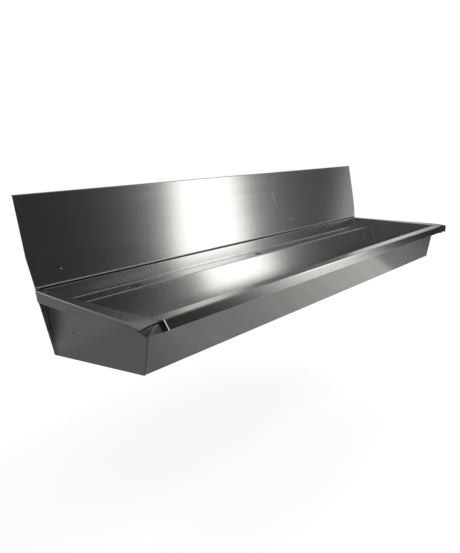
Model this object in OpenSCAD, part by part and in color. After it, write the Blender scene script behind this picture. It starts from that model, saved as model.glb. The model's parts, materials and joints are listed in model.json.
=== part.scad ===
// Wall-hung hand wash trough in folded stainless sheet, with tap ledge and high splashback.
// Millimetres. X runs along the trough, +Y points to the wall, +Z up.
// The origin lies on the wall face, mid-length, level with the back of the rim.

/* [Trough] */
// Overall length, the width of the splashback
trough_length = 1800; // [1500:10:2400]
// Depth from the wall to the front rim
trough_depth = 480; // [440:2:560]
// Sheet thickness
sheet = 1.5; // [1.2:0.1:2]
// Inside radius of every fold
fold_radius = 2; // [1.5:0.5:3]
// Fall of the rim from the wall to the front, degrees
rim_fall = 10.6; // [6:0.2:13]
// Fall of the bottom from the wall to the front, degrees
bottom_fall = 4.6; // [2:0.2:6]
// Depth of the end panels below the rim, at the wall
back_depth = 197; // [180:1:240]

/* [Front] */
// Width of the front rim on its slope
front_rim = 35; // [28:1:45]
// Height of the front fascia
fascia_height = 31; // [25:1:45]
// Lean of the fascia, past square to the rim, degrees
fascia_lean = 0; // [0:1:12]
// Distance from the wall to the fold between front wall and bottom
front_foot = 391; // [340:1:400]
// Distance of the fascia's ends from the end walls
fascia_gap = 8; // [0:1:15]
// How far the cut ends of the fascia slant
fascia_cut = 14; // [0:1:20]
// Leg width of the stiffener under the front rim
stiffener_leg = 22; // [15:1:24]
// Distance of the stiffener's ends from the ends of the front rim
stiffener_gap = 40; // [30:1:80]

/* [Tap ledge] */
// Height of the upstand between ledge and rim
upstand_height = 47; // [35:1:60]
// Width of the tap ledge
ledge_width = 101; // [85:1:110]
// Fall of the ledge towards the basin, degrees
ledge_fall = 4; // [1:0.2:6]
// Slope of the basin back from vertical, degrees
back_slope = 10.5; // [5:0.5:16]
// Number of tap holes
tap_count = 3; // [1:1:3]
// Distance between tap holes
tap_pitch = 600; // [400:10:640]
// Diameter of a tap hole
tap_hole = 28; // [22:1:35]
// Distance of the tap holes from the wall
tap_setback = 67; // [45:1:75]

/* [Splashback] */
// Height of the splashback above the rim
splash_height = 274; // [150:1:400]
// Height of the kink in the side edges
kink_height = 97; // [60:1:120]
// How far the foot of the back sheet lies inside each end
foot_inset = 26; // [18:1:34]

// Distance of the front faces of splashback and upstand from the wall
face_depth = 7; // [7:0.5:12]
// Open slot between upstand and splashback
joint_slot = 2.5; // [1:0.5:5]
// Height of the back sheet behind the splashback
tongue_height = 30; // [15:1:50]
// How far that part of the back sheet lies inside the splashback's side edges
tongue_inset = 6; // [2:1:20]

/* [Ends] */
// How much the end walls close in towards the front, degrees
end_taper = 5.5; // [0:0.1:6]
// How far the front corners of the rim lie inside each end
rim_front_inset = 13; // [5:1:20]
// Free width of the end flange
end_flange = 35; // [25:1:40]
// Inward lean of the end flange at its front, degrees
flange_lean = 47; // [0:1:50]
// Droop of the front corners of the rim
corner_droop = 6; // [0:1:8]

/* [Supports] */
// Thickness of the gussets under the ledge
gusset_thick = 2; // [1.5:0.5:4]
// Distance of the inner gussets from the middle
gusset_inner = 300; // [200:5:340]
// Distance of the outer gussets from the ends
gusset_end_gap = 120; // [90:5:150]
// Height of the gussets and fixing plates at the wall
gusset_height = 110; // [90:1:120]
// Height of the gussets along the basin back
gusset_reach = 75; // [50:1:85]
// Thickness of the wall fixing plates
plate_thick = 3; // [2:0.5:5]
// Width of a wall fixing plate
plate_width = 110; // [80:1:130]
// Distance of the fixing plates below the ledge
plate_gap = 5; // [3:0.5:10]
// Distance of the wall fixings from the middle
fixing_offset = 540; // [430:5:560]
// Vertical distance between the two fixing holes of a plate
fixing_rise = 60; // [40:1:70]
// Diameter of a wall fixing hole
fixing_hole = 9; // [6:0.5:12]

/* [Waste] */
// Distance of the outlet from the wall
waste_setback = 210; // [200:1:300]
// Diameter of the outlet hole in the sheet
waste_hole = 52; // [48:1:60]
// Diameter of the pressed dish round the outlet
dish_diameter = 100; // [95:1:120]
// Depth of the pressed dish
dish_depth = 4; // [3:0.5:8]
// Diameter of the strainer
strainer_diameter = 76; // [70:1:84]
// Depth of the dip in the middle of the strainer
strainer_dip = 4; // [2:0.5:5]
// Number of holes in the strainer
strainer_holes = 10; // [6:1:11]
// Diameter of the holes in the strainer
strainer_hole = 6; // [4:0.5:6.5]
// Diameter of the circle that the holes lie on
strainer_circle = 28; // [26:1:30]
// Outer diameter of the threaded waste tail
tail_diameter = 47.8; // [42:0.1:50]
// Wall of the waste tail
tail_wall = 3; // [2:0.5:5]
// Length of the waste below the trough
tail_length = 50; // [35:1:90]
// Thickness of the flange of the waste body
body_flange = 3; // [2:0.5:5]
// Length of the cone from the cup to the tail
body_cone = 6; // [4:1:12]
// Thickness of the upper rubber seal
seal_top = 2; // [1:0.5:4]
// Thickness of the lower rubber seal
seal_bottom = 3; // [2:0.5:5]
// Diameter of the clamping screw
screw_diameter = 6; // [5:1:8]

/* [Underside] */
// Thickness of the sound pads
pad_thick = 2.5; // [1.5:0.5:4]
// Length of a sound pad
pad_length = 420; // [200:10:450]
// Width of a sound pad
pad_width = 150; // [100:5:160]
// Distance of the sound pads from the middle
pad_offset = 400; // [370:5:430]
// Distance of the earth tag from the middle
earth_offset = 90; // [60:5:120]
// Side of the earth tag
tag_size = 20; // [18:1:24]
// Diameter of the earth bolt
earth_bolt_diameter = 6; // [5:1:8]
// Thickness of the earth bolt's washers
washer_thick = 1.2; // [1:0.1:2]

/* [Hidden] */

// Facets of round parts and of small round parts
ROUND = 64;
SMALL_ROUND = 32;
// Steps in a fold of the pan, in a fold of an end rim, and along an end rim
FOLD_STEPS = 6;
RIM_FOLD_STEPS = 3;
RIM_STEPS = 14;
// Close fit between pieces, open clearance, and the length of a tool that cuts through a sheet
FIT = 0.2;
CLEAR = 1;
CUT = 20;
// Fastener heads, nuts and slots, as shares of the thread's diameter
HEX_RADIUS = 0.95;
HEAD_RADIUS = 0.9;
HEAD_HEIGHT = 0.6;
NUT_HEIGHT = 0.8;
SLOT_WIDTH = 0.2;
// How late the end flange starts to lean on its way to the front
LEAN_GROWTH = 1.35;

half_length = trough_length / 2;

// Vectors in a section
function unit(v) = v / norm(v);
function left_of(v) = [-v[1], v[0]];
function turned(v, a) = [v[0] * cos(a) - v[1] * sin(a), v[0] * sin(a) + v[1] * cos(a)];
function reversed(list) = [for (i = [len(list) - 1 : -1 : 0]) list[i]];

// Points of the fold at b, on the face that lies shift millimetres to the right of the path
function fold_at(a, b, c, shift, steps) =
    let (d1 = unit(b - a), d2 = unit(c - b))
    let (side = cross(d1, d2) > 0 ? 1 : -1, angle = acos(d1 * d2))
    let (radius = side > 0 ? fold_radius : fold_radius + sheet)
    let (start = b - d1 * radius * tan(angle / 2))
    let (centre = start + side * left_of(d1) * radius)
    [for (k = [0 : steps])
        centre - side * left_of(turned(d1, side * angle * k / steps)) * (radius + side * shift)];

// One face of a folded sheet: shift 0 is the face on the path, shift sheet the other one
function folded(path, shift, steps) =
    let (last = len(path) - 1)
    concat(
        [path[0] - left_of(unit(path[1] - path[0])) * shift],
        [for (i = [1 : last - 1]) each fold_at(path[i - 1], path[i], path[i + 1], shift, steps)],
        [path[last] - left_of(unit(path[last] - path[last - 1])) * shift]);
function sheet_outline(path, steps = FOLD_STEPS) =
    concat(folded(path, 0, steps), reversed(folded(path, sheet, steps)));

// Section of the trough, in [y, z]
ledge_rear = [-face_depth, -upstand_height];
ledge_front = ledge_rear + [-ledge_width, -ledge_width * tan(ledge_fall)];
function bottom_z(y) = -back_depth + y * tan(bottom_fall) + sheet / cos(bottom_fall);
slope_run = tan(back_slope);
slope_drop = (ledge_front[1] - bottom_z(ledge_front[0])) / (1 - slope_run * tan(bottom_fall));
slope_foot = ledge_front + [-slope_drop * slope_run, -slope_drop];
front_fold = [-front_foot + sheet, bottom_z(-front_foot + sheet)];
function rim_z(y) = y * tan(rim_fall);
rim_front = [-trough_depth, rim_z(-trough_depth)];
rim_inner = rim_front + front_rim * [cos(rim_fall), sin(rim_fall)];
fascia_way = turned([0, -1], rim_fall + fascia_lean);
fascia_foot = rim_front + fascia_height * fascia_way;
pan_path = [fascia_foot, rim_front, rim_inner, front_fold, slope_foot, ledge_front, ledge_rear,
    [-face_depth, -FIT], [-sheet, -FIT]];
splash_path = [[-sheet, joint_slot], [-face_depth, joint_slot], [-face_depth, splash_height],
    [0, splash_height]];

// Half width of the back sheet at a height below its kink
function back_half(z) =
    half_length - foot_inset * (kink_height - z) / (kink_height + back_depth);

// Inner face of the right end wall, and outer edge of the right rim
function wall_x(y) = half_length - foot_inset - sheet + (y + sheet) * tan(end_taper);
function rim_x(y) = back_half(0) + (half_length - rim_front_inset - back_half(0)) * -y / trough_depth;

// A section in [y, z] drawn out along X
module along_x(x0, x1) {
    translate([x0, 0, 0]) rotate([90, 0, 90]) linear_extrude(x1 - x0) children();
}

// The space between the end walls
module between_ends() {
    front = 2 * trough_depth;
    translate([0, 0, -trough_depth - back_depth])
        linear_extrude(2 * trough_depth)
            polygon([[wall_x(0), 0], [wall_x(-front), -front], [-wall_x(-front), -front], [-wall_x(0), 0]]);
}

// Back sheet, flat, from the foot of the trough to a tongue behind the splashback
module back_sheet() {
    foot = back_half(-back_depth);
    tongue = back_half(0) - tongue_inset;
    color("silver") difference() {
        rotate([90, 0, 0]) linear_extrude(sheet)
            polygon([[tongue, tongue_height], [tongue, 0], [back_half(0), 0], [foot, -back_depth],
                [-foot, -back_depth], [-back_half(0), 0], [-tongue, 0], [-tongue, tongue_height]]);
        fixing_holes();
    }
}

// Splashback, folded back along its foot on the back sheet and along its top on the wall
module splashback() {
    low = back_half(0);
    top = splash_height + CLEAR;
    color("silver") intersection() {
        along_x(-half_length - CLEAR, half_length + CLEAR) polygon(sheet_outline(splash_path));
        translate([0, CLEAR, 0]) rotate([90, 0, 0]) linear_extrude(face_depth + 2 * CLEAR)
            polygon([[half_length, top], [half_length, kink_height], [low, 0],
                [-low, 0], [-half_length, kink_height], [-half_length, top]]);
    }
}

// Wall fixings, two holes in each plate, below the ledge and behind the basin
fixing_z = -upstand_height - plate_gap - gusset_height / 2;
module fixing_holes() {
    for (side = [-1, 1], row = [-1, 1])
        translate([side * fixing_offset, 0, fixing_z + row * fixing_rise / 2])
            rotate([90, 0, 0])
                cylinder(d = fixing_hole, h = CUT, center = true, $fn = SMALL_ROUND);
}
module fixing_plate(side) {
    color("gray") difference() {
        translate([side * fixing_offset - plate_width / 2, -sheet - plate_thick,
                fixing_z - gusset_height / 2])
            cube([plate_width, plate_thick, gusset_height]);
        fixing_holes();
    }
}

// Gussets that carry the ledge and the basin back on the back sheet
gusset_x = [-half_length + gusset_end_gap, -gusset_inner, gusset_inner, half_length - gusset_end_gap];
function ledge_under(y) =
    ledge_rear[1] + (y - ledge_rear[0]) * tan(ledge_fall) - sheet / cos(ledge_fall);
function slope_behind(z) =
    ledge_front[0] - (ledge_front[1] - z) * slope_run + sheet / cos(back_slope);
module ledge_gusset(x) {
    corner_z = ledge_under(ledge_front[0]);
    foot_z = corner_z - gusset_reach;
    bevel = 2 * fold_radius + CLEAR;
    color("gray") along_x(x - gusset_thick / 2, x + gusset_thick / 2) polygon([
        [-sheet, ledge_under(-sheet)],
        [ledge_front[0] + bevel, ledge_under(ledge_front[0] + bevel)],
        [slope_behind(corner_z - bevel), corner_z - bevel],
        [slope_behind(foot_z), foot_z],
        [-sheet, ledge_under(-sheet) - gusset_height]]);
}

// Places on the ledge and on the bottom
module at_tap_holes() {
    y = -tap_setback;
    z = ledge_rear[1] + (y - ledge_rear[0]) * tan(ledge_fall);
    for (i = [0 : tap_count - 1])
        translate([(i - (tap_count - 1) / 2) * tap_pitch, y, z]) rotate([ledge_fall, 0, 0]) children();
}
module at_bottom(x, y) {
    translate([x, y, bottom_z(y)]) rotate([bottom_fall, 0, 0]) children();
}
module at_waste() {
    at_bottom(0, -waste_setback) children();
}

// Trough pan: fascia, front rim, basin, tap ledge and upstand in one folded sheet
module trough_pan() {
    color("silver") {
        difference() {
            intersection() {
                along_x(-half_length, half_length) polygon(sheet_outline(pan_path));
                between_ends();
            }
            at_tap_holes() cylinder(d = tap_hole, h = CUT, center = true, $fn = ROUND);
            at_waste() cylinder(d = dish_diameter, h = CUT, center = true, $fn = ROUND);
            fascia_end_cuts();
        }
        at_waste() waste_dish();
    }
}

// Pressed dish: a shallow cone down to a flat seat with the outlet hole
module waste_dish() {
    edge = dish_diameter / 2;
    seat = strainer_diameter / 2 + CLEAR;
    rotate_extrude($fn = ROUND) polygon([[edge, 0], [seat, -dish_depth], [waste_hole / 2, -dish_depth],
        [waste_hole / 2, -dish_depth - sheet], [seat + FIT, -dish_depth - sheet], [edge, -sheet]]);
}

// Open front corners: the fascia and its fold end short of the end walls, on a slant
module fascia_end_cuts() {
    bend = fold_radius + sheet;
    reach = front_rim / 2;
    foot = -2 * fascia_height;
    for (side = [0, 1])
        mirror([side, 0, 0])
            translate([wall_x(-trough_depth) - fascia_gap, rim_front[0], rim_front[1]])
                rotate([rim_fall, 0, 0]) rotate([0, atan(fascia_cut / fascia_height), 0])
                    along_x(0, 2 * front_rim) polygon([[-reach, reach], [bend, reach], [bend, -bend],
                        [reach, -bend], [reach, foot], [-reach, foot]]);
}

// Angle under the front rim, against the rim and the fascia
module rim_stiffener() {
    n1 = left_of(-fascia_way);
    n2 = left_of(unit(rim_inner - rim_front));
    corner = rim_front - sheet * (n1 + n2) / (1 + n1 * n2);
    reach = wall_x(-trough_depth) - stiffener_gap;
    path = [corner + stiffener_leg * fascia_way, corner,
        corner + stiffener_leg * unit(rim_inner - rim_front)];
    color("gray") along_x(-reach, reach) polygon(sheet_outline(path));
}

// Section of the right end's rim and flange at a depth, then the drooping front corner
function flange_angle(y) = flange_lean * pow(-y / trough_depth, LEAN_GROWTH);
function end_section(y) =
    let (width = rim_x(y) - wall_x(y), lean = flange_angle(y))
    [[0, -3 * fold_radius], [0, 0], [width, 0],
        [width - end_flange * sin(lean), -end_flange * cos(lean)]];
function droop(x, y) =
    let (along = max(0, 1 - (y + trough_depth) / (2 * front_rim)))
    let (across = max(0, (x - wall_x(y)) / (rim_x(y) - wall_x(y))))
    corner_droop * along * along * min(1, across);
function rim_station(i) = -sheet - (trough_depth - sheet) * i / RIM_STEPS;
function rim_point(p, y) = [wall_x(y) + p[0], y, rim_z(y) + p[1] - droop(wall_x(y) + p[0], y)];

// A closed skin through rings of points, each ring with the same number of points
module ring_skin(rings) {
    count = len(rings[0]);
    last = len(rings) - 1;
    sides = [for (i = [0 : last - 1], k = [0 : count - 1])
        let (a = i * count + k, b = i * count + (k + 1) % count)
        each [[a, b, b + count], [a, b + count, a + count]]];
    caps = [
        [for (k = [0 : count - 1]) count - 1 - k],
        [for (k = [0 : count - 1]) last * count + k]];
    polyhedron([for (r = rings) each r], concat(sides, caps));
}
module end_rim() {
    ring_skin([for (i = [0 : RIM_STEPS])
        let (y = rim_station(i))
        [for (p = sheet_outline(end_section(y), RIM_FOLD_STEPS)) rim_point(p, y)]]);
}

// End wall, upright, closing in towards the front
module end_wall() {
    points = [
        [-sheet, rim_z(-sheet) - sheet],
        [rim_inner[0], rim_inner[1] - sheet],
        [-front_foot, bottom_z(-front_foot) - sheet],
        [-sheet, bottom_z(-sheet) - sheet / cos(bottom_fall)]];
    translate([wall_x(-sheet), -sheet, 0]) rotate([0, 0, -end_taper])
        rotate([90, 0, 90]) linear_extrude(sheet)
            polygon([for (p = points) [(p[0] + sheet) / cos(end_taper), p[1]]]);
}
module end_panel(side) {
    color("darkgray") mirror([side < 0 ? 1 : 0, 0, 0]) {
        end_wall();
        end_rim();
    }
}

// Waste outlet, square to the bottom, its zero on the bottom's upper face
seat_z = -dish_depth;
strainer_z = seat_z + seal_top;
body_z = seat_z - sheet - seal_bottom;
cup_bore = waste_hole / 2 - CLEAR;
tail_bore = tail_diameter / 2 - tail_wall;
strainer_floor = cup_bore - strainer_dip - CLEAR;
boss_radius = screw_diameter;
boss_foot = body_z - 2 * boss_radius;

module ring(outer, inner, height) {
    difference() {
        cylinder(r = outer, h = height, $fn = ROUND);
        translate([0, 0, -1]) cylinder(r = inner, h = height + 2, $fn = ROUND);
    }
}
module waste_seal_top() {
    color("dimgray") at_waste() translate([0, 0, seat_z])
        ring(strainer_diameter / 2 - CLEAR, waste_hole / 2, seal_top);
}
module waste_seal_bottom() {
    color("dimgray") at_waste() translate([0, 0, body_z])
        ring(strainer_diameter / 2, waste_hole / 2, seal_bottom);
}

// Strainer: a dished plate with a ring of holes and the screw hole
module waste_strainer() {
    color("lightgray") at_waste() translate([0, 0, strainer_z]) difference() {
        rotate_extrude($fn = ROUND) polygon([[0, -strainer_dip], [strainer_floor, -strainer_dip],
            [cup_bore - CLEAR, 0], [strainer_diameter / 2, 0], [strainer_diameter / 2, sheet],
            [cup_bore - CLEAR - FIT, sheet], [strainer_floor - FIT, sheet - strainer_dip],
            [0, sheet - strainer_dip]]);
        for (i = [1 : strainer_holes])
            rotate([0, 0, i * 360 / strainer_holes]) translate([strainer_circle / 2, 0, 0])
                cylinder(d = strainer_hole, h = CUT, center = true, $fn = SMALL_ROUND);
        cylinder(d = screw_diameter + 2 * FIT, h = CUT, center = true, $fn = SMALL_ROUND);
    }
}

// Slotted clamping screw, through the strainer into the boss of the waste body
module waste_screw() {
    head_z = strainer_z + sheet - strainer_dip;
    head = HEAD_HEIGHT * screw_diameter;
    slot = SLOT_WIDTH * screw_diameter;
    color("lightgray") at_waste() difference() {
        union() {
            translate([0, 0, head_z]) cylinder(r = HEAD_RADIUS * screw_diameter, h = head, $fn = SMALL_ROUND);
            translate([0, 0, boss_foot])
                cylinder(d = screw_diameter, h = head_z - boss_foot, $fn = SMALL_ROUND);
        }
        translate([0, 0, head_z + head]) cube([3 * screw_diameter, slot, head], center = true);
    }
}

// Waste body: flange, cup and tail, with a bar across the bore that carries the boss
module waste_body() {
    flange_z = body_z - body_flange;
    neck_z = flange_z - body_cone;
    end_z = body_z - tail_length;
    color("dimgray") at_waste() difference() {
        union() {
            rotate_extrude($fn = ROUND) polygon([[cup_bore, body_z], [strainer_diameter / 2, body_z],
                [strainer_diameter / 2, flange_z], [cup_bore + tail_wall, flange_z],
                [tail_diameter / 2, neck_z], [tail_diameter / 2, end_z], [tail_bore, end_z],
                [tail_bore, neck_z], [cup_bore, flange_z]]);
            translate([0, 0, body_z - boss_radius])
                cube([2 * tail_bore + tail_wall, boss_radius, boss_radius], center = true);
            translate([0, 0, boss_foot]) cylinder(r = boss_radius, h = 2 * boss_radius, $fn = SMALL_ROUND);
        }
        cylinder(d = screw_diameter + FIT, h = 4 * tail_length, center = true, $fn = SMALL_ROUND);
    }
}

// Sound pads, stuck to the underside of the bottom
module sound_pad(side) {
    color("black") at_bottom(side * pad_offset, (slope_foot[0] + front_fold[0]) / 2)
        translate([-pad_length / 2, -pad_width / 2, -sheet - pad_thick])
            cube([pad_length, pad_width, pad_thick]);
}

// Earth tag under the bottom, with its bolt, washers and nut
module at_earth() {
    at_bottom(earth_offset, slope_foot[0] - 2 * tag_size) translate([0, 0, -sheet]) children();
}
module at_earth_bolt() {
    at_earth() translate([0, 0, -(tag_size + sheet) / 2]) rotate([0, 90, 0]) children();
}
module earth_tag() {
    color("silver") difference() {
        at_earth() {
            translate([0, -tag_size / 2, -sheet]) cube([tag_size, tag_size, sheet]);
            translate([0, -tag_size / 2, -tag_size]) cube([sheet, tag_size, tag_size]);
        }
        at_earth_bolt()
            cylinder(d = earth_bolt_diameter + 2 * FIT, h = CUT, center = true, $fn = SMALL_ROUND);
    }
}
module earth_bolt() {
    head = HEAD_HEIGHT * earth_bolt_diameter;
    reach = sheet + 2 * washer_thick + NUT_HEIGHT * earth_bolt_diameter + CLEAR;
    color("goldenrod") at_earth_bolt() translate([0, 0, -washer_thick]) {
        translate([0, 0, -head]) cylinder(r = HEX_RADIUS * earth_bolt_diameter, h = head, $fn = 6);
        cylinder(d = earth_bolt_diameter, h = reach, $fn = SMALL_ROUND);
    }
}
module earth_washers() {
    color("goldenrod") at_earth_bolt() for (z = [-washer_thick, sheet])
        translate([0, 0, z]) ring(earth_bolt_diameter, earth_bolt_diameter / 2 + FIT, washer_thick);
}
module earth_nut() {
    color("goldenrod") at_earth_bolt() translate([0, 0, sheet + washer_thick]) difference() {
        cylinder(r = HEX_RADIUS * earth_bolt_diameter, h = NUT_HEIGHT * earth_bolt_diameter, $fn = 6);
        cylinder(d = earth_bolt_diameter + FIT, h = CUT, center = true, $fn = SMALL_ROUND);
    }
}

back_sheet();
splashback();
trough_pan();
end_panel(-1);  // end_panel_left
end_panel(1);  // end_panel_right
rim_stiffener();
fixing_plate(-1);  // fixing_plate_left
fixing_plate(1);  // fixing_plate_right
ledge_gusset(gusset_x[0]);  // ledge_gusset_1
ledge_gusset(gusset_x[1]);  // ledge_gusset_2
ledge_gusset(gusset_x[2]);  // ledge_gusset_3
ledge_gusset(gusset_x[3]);  // ledge_gusset_4
waste_seal_top();
waste_strainer();
waste_screw();
waste_seal_bottom();
waste_body();
sound_pad(-1);  // sound_pad_left
sound_pad(1);  // sound_pad_right
earth_tag();
earth_bolt();
earth_washers();
earth_nut();
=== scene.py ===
import json
import math

import bpy
import numpy as np
from mathutils import Matrix, Vector

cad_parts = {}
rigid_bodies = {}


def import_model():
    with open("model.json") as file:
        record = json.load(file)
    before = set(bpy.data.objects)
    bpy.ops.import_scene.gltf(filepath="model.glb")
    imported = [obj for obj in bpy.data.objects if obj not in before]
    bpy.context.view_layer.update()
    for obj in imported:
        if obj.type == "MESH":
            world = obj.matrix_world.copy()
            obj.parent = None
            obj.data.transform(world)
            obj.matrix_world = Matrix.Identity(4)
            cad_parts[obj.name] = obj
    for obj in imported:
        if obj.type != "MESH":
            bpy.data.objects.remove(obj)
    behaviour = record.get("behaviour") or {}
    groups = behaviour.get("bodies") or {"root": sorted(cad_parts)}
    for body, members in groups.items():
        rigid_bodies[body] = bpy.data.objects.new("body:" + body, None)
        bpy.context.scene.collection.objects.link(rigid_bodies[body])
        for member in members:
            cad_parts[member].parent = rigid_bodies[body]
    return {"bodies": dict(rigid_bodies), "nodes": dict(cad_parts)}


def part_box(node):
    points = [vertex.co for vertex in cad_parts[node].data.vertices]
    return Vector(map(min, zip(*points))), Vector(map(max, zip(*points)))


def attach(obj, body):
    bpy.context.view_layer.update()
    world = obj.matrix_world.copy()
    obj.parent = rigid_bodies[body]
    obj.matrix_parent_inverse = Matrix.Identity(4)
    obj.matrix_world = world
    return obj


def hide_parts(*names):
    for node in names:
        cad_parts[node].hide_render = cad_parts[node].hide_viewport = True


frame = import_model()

bl_info = {
    "name": "Hand Wash Trough",
    "version": (1, 0, 0),
    "blender": (4, 5, 0),
    "location": "View3D > Sidebar > Trough",
    "description": "Finishes, formed end panels, welds and studio for a stainless hand wash trough",
    "category": "Object",
}

MM = 0.001
BODY = next(iter(frame["bodies"]))

# Sizes of the folded sheets, as in the construction model, in metres and radians
SHEET = 1.5 * MM
FOLD = 2 * MM
RIM_FALL = math.radians(10.6)
BOTTOM_FALL = math.radians(4.6)
BACK_DEPTH = 197 * MM
FRONT_RIM = 35 * MM
FRONT_FOOT = 391 * MM
KINK_HEIGHT = 97 * MM
FOOT_INSET = 26 * MM
RIM_FRONT_INSET = 13 * MM
END_TAPER = math.radians(5.5)
END_FLANGE = 35 * MM
# Lean of each end flange at the front corner, and the power of the depth with which it grows
FLANGE_LEAN = {-1: math.radians(47), 1: math.radians(30)}
LEAN_GROWTH = 1.35
CORNER_DROOP = 6 * MM
FASCIA_HEIGHT = 31 * MM
# Half length of the fascia, how far its cut end slants, and the crease of the lips
FASCIA_END = 815 * MM
FASCIA_CUT = 14 * MM
LIP_CREASE = 841 * MM
FACE_DEPTH = 7 * MM
UPSTAND_HEIGHT = 47 * MM
LEDGE_WIDTH = 101 * MM
LEDGE_FALL = math.radians(4)
BACK_SLOPE = math.radians(10.5)

SIDE_WORD = {-1: "left", 1: "right"}

# The overall sizes come from the frame
HALF_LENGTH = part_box("splashback")[1][0]
DEPTH = -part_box("end_panel_right")[0][1]


# Section of the trough: functions of the distance y from the wall, negative to the front


def rim_z(y):
    """Height of the rim: it falls from the wall to the front."""
    return y * math.tan(RIM_FALL)


def bottom_z(y):
    """Height of the basin's bottom: it falls from the wall to the front."""
    return -BACK_DEPTH + y * math.tan(BOTTOM_FALL) + SHEET / math.cos(BOTTOM_FALL)


def wall_x(y):
    """Inner face of the right end wall, which closes in towards the front."""
    return HALF_LENGTH - FOOT_INSET - SHEET + (y + SHEET) * math.tan(END_TAPER)


def rim_x(y):
    """Outer edge of the right rim: a straight line from the back sheet to the front corner."""
    rear = HALF_LENGTH - FOOT_INSET * KINK_HEIGHT / (KINK_HEIGHT + BACK_DEPTH)
    return rear + (HALF_LENGTH - RIM_FRONT_INSET - rear) * -y / DEPTH


RIM_FRONT = np.array([-DEPTH, rim_z(-DEPTH)])
RIM_INNER = RIM_FRONT + FRONT_RIM * np.array([math.cos(RIM_FALL), math.sin(RIM_FALL)])
FRONT_FOLD = np.array([-FRONT_FOOT + SHEET, bottom_z(-FRONT_FOOT + SHEET)])
LEDGE_REAR = np.array([-FACE_DEPTH, -UPSTAND_HEIGHT])
LEDGE_FRONT = LEDGE_REAR - LEDGE_WIDTH * np.array([1, math.tan(LEDGE_FALL)])
SLOPE_DROP = ((LEDGE_FRONT[1] - bottom_z(LEDGE_FRONT[0]))
              / (1 - math.tan(BACK_SLOPE) * math.tan(BOTTOM_FALL)))
SLOPE_FOOT = LEDGE_FRONT - SLOPE_DROP * np.array([math.tan(BACK_SLOPE), 1])


# Colours and nodes


def linear(code):
    """Linear RGB of an sRGB colour written as #RRGGBB."""
    parts = [int(code[i:i + 2], 16) / 255 for i in (1, 3, 5)]
    return tuple(c / 12.92 if c <= 0.04045 else ((c + 0.055) / 1.055) ** 2.4 for c in parts)


def add(tree, kind, inputs=None, **settings):
    """Adds a node, sets its attributes, and sets or links its inputs by name or number."""
    node = tree.nodes.new(kind)
    for name, value in settings.items():
        setattr(node, name, value)
    for name, value in (inputs or {}).items():
        socket = node.inputs[name]
        if isinstance(value, bpy.types.NodeSocket):
            tree.links.new(value, socket)
        elif socket.type == "RGBA":
            socket.default_value = (*value[:3], 1)
        else:
            socket.default_value = value
    return node


def new_material(name):
    """An empty material with its output node, and the node tree."""
    material = bpy.data.materials.new(name)
    material.use_nodes = True
    material.node_tree.nodes.clear()
    return material, material.node_tree


def close_material(tree, shader):
    """Links a shader to the material's output."""
    add(tree, "ShaderNodeOutputMaterial", {"Surface": shader})


def dress(material, *names):
    """Gives CAD nodes a material."""
    for name in names:
        mesh = frame["nodes"][name].data
        mesh.materials.clear()
        mesh.materials.append(material)


# Finishes of the sheets

ROUGH_STREAK = 0.006
MILL_SPREAD = 0.03
MILL_PATCH = 33.33 * MM
ROLL_PITCH = 45.45 * MM
ROLL_SLANT = (0.4, 0.0, 0.9)
SHEET_WAVE = 142.9 * MM
HAZE_ROUGHNESS = 0.4


def streaks(tree, length, pitch, position):
    """Streaks along the first axis: noise that is one streak length long and one pitch wide."""
    stretched = add(tree, "ShaderNodeVectorMath", {
        0: position, 1: (1 / length, 1 / pitch, 1 / pitch)}, operation="MULTIPLY")
    return add(tree, "ShaderNodeTexNoise", {
        "Vector": stretched.outputs[0], "Scale": 1.0, "Detail": 3.0}).outputs["Fac"]


def brushed_shader(tree, steel, where, tangent):
    """Stainless steel 1.4301, belt-brushed to grit 180. Long fine lines spread every reflection
    across the grain and leave it sharp along it, so lamps show as bands square to the grain. The
    lines, 0.1 mm apart, are too fine to show, so the shader stretches the reflection for them, and
    the streaks stand for the broader bands that the belt leaves."""
    bands = streaks(tree, steel.streak_length, steel.grain_pitch, where)
    cloud = add(tree, "ShaderNodeTexNoise", {
        "Vector": where, "Scale": 1 / steel.cloud_size, "Detail": 3.0})
    shade = add(tree, "ShaderNodeMapRange", {
        "Value": bands, "From Min": 0.3, "From Max": 0.7, "To Min": -1.0, "To Max": 1.0})
    colour = add(tree, "ShaderNodeMix", {
        "Factor": bands, 6: linear(steel.dark_code), 7: linear(steel.light_code)}, data_type="RGBA")
    rough = add(tree, "ShaderNodeMath", {
        0: shade.outputs[0], 1: ROUGH_STREAK, 2: steel.roughness}, operation="MULTIPLY_ADD")
    rough = add(tree, "ShaderNodeMath", {
        0: cloud.outputs["Fac"], 1: steel.cloud_depth, 2: rough.outputs[0]}, operation="MULTIPLY_ADD")
    return add(tree, "ShaderNodeBsdfPrincipled", {
        "Base Color": colour.outputs[2], "Metallic": 1.0, "Roughness": rough.outputs[0],
        "Anisotropic": steel.anisotropy, "Anisotropic Rotation": 0.25,
        "Tangent": tangent(tree)}).outputs[0]


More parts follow.
